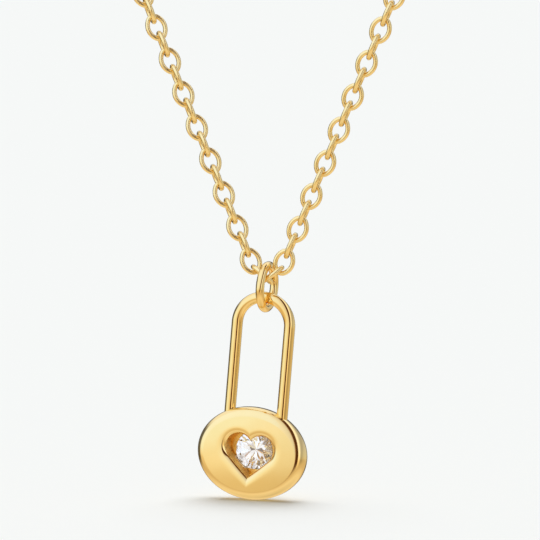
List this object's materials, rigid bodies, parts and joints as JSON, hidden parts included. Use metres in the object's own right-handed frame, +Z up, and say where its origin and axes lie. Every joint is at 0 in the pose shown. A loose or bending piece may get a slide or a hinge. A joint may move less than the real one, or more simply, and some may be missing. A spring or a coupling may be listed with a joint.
{
  "type": "padlock pendant necklace",
  "caption": "Oval padlock pendant with a heart-shaped window and a round stone, hung by a jump ring on a closed cable chain.",
  "frame": {"origin": "centre of the clasp ring at the nape of the neck, from which the necklace hangs", "axes": "+Z up, +X from the left half of the chain to the right one as seen from the front, and the front of the pendant faces -Y"},
  "size_m": [0.1103, 0.0989, 0.161],
  "materials": {
    "chain_gold": "polished",
    "ring_gold": "polished",
    "lock_gold": "polished",
    "stone_clear": "faceted"
  },
  "bodies": {
    "chain": {"chain_left": "chain_gold", "chain_right": "chain_gold", "clasp": "chain_gold"},
    "ring": {"jump_ring": "ring_gold"},
    "lock": {"shackle": "lock_gold", "case": "lock_gold", "stone": "stone_clear", "setting": "lock_gold"}
  },
  "joints": [
    {"name": "ring_swing", "type": "hinge", "parent": "chain", "child": "ring", "pos_m": [0, -0.09504, -0.1355], "axis": [1, 0, 0], "range_deg": [-60, 60]},
    {"name": "lock_swing", "type": "hinge", "parent": "ring", "child": "lock", "pos_m": [0.00003, -0.095, -0.13681], "axis": [0.986, 0, -0.1668], "range_deg": [-90, 90]}
  ]
}
